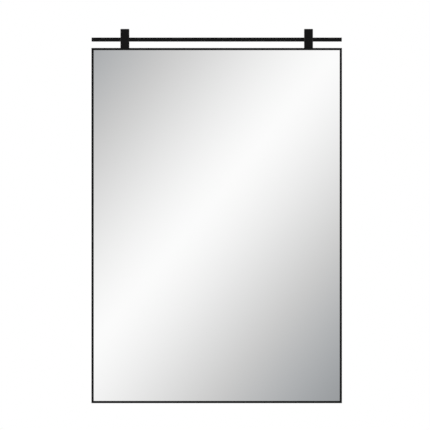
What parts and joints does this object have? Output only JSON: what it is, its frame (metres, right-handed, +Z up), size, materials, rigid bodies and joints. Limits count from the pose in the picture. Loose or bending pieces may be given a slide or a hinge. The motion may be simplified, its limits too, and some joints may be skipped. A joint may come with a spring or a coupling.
{
  "type": "wall mirror",
  "caption": "Upright rectangular wall mirror in a slim black steel frame, with a square bar carried behind upright straps above it and D-ring hangers on its back.",
  "frame": {"origin": "on the wall plane, behind the centre of the rectangular frame", "axes": "+Z up, +X to the right as seen from the front, +Y into the wall; the mirror faces -Y"},
  "size_m": [0.61, 0.022, 0.9115],
  "materials": {
    "black_steel": "matt black powder coat",
    "mirror": "silvered float glass with a ground arris",
    "fibreboard": "bare medium-density fibreboard",
    "foam_tape": "white foam mounting tape",
    "zinc_steel": "bright zinc plate",
    "rubber": "matt black rubber"
  },
  "bodies": {
    "mirror": {"frame_top": "black_steel", "frame_right": "black_steel", "frame_bottom": "black_steel", "frame_left": "black_steel", "fixing_lugs": "black_steel", "strap_left": "black_steel", "strap_right": "black_steel", "header_rail": "black_steel", "rail_screws": "black_steel", "mirror_glass": "mirror", "back_board": "fibreboard", "bonding_strips": "foam_tape", "board_screws": "zinc_steel", "hanger_screws": "zinc_steel", "hanger_plate_left": "zinc_steel", "hanger_plate_right": "zinc_steel", "wall_bumpers": "rubber"},
    "d_ring_left": {"d_ring_left": "zinc_steel"},
    "d_ring_right": {"d_ring_right": "zinc_steel"}
  },
  "joints": [
    {"name": "d_ring_left_swing", "type": "hinge", "parent": "mirror", "child": "d_ring_left", "pos_m": [-0.2, -0.00355, 0.2925], "axis": [-1, 0, 0], "range_deg": [0, 178]},
    {"name": "d_ring_right_swing", "type": "hinge", "parent": "mirror", "child": "d_ring_right", "pos_m": [0.2, -0.00355, 0.2925], "axis": [-1, 0, 0], "range_deg": [0, 178]}
  ]
}
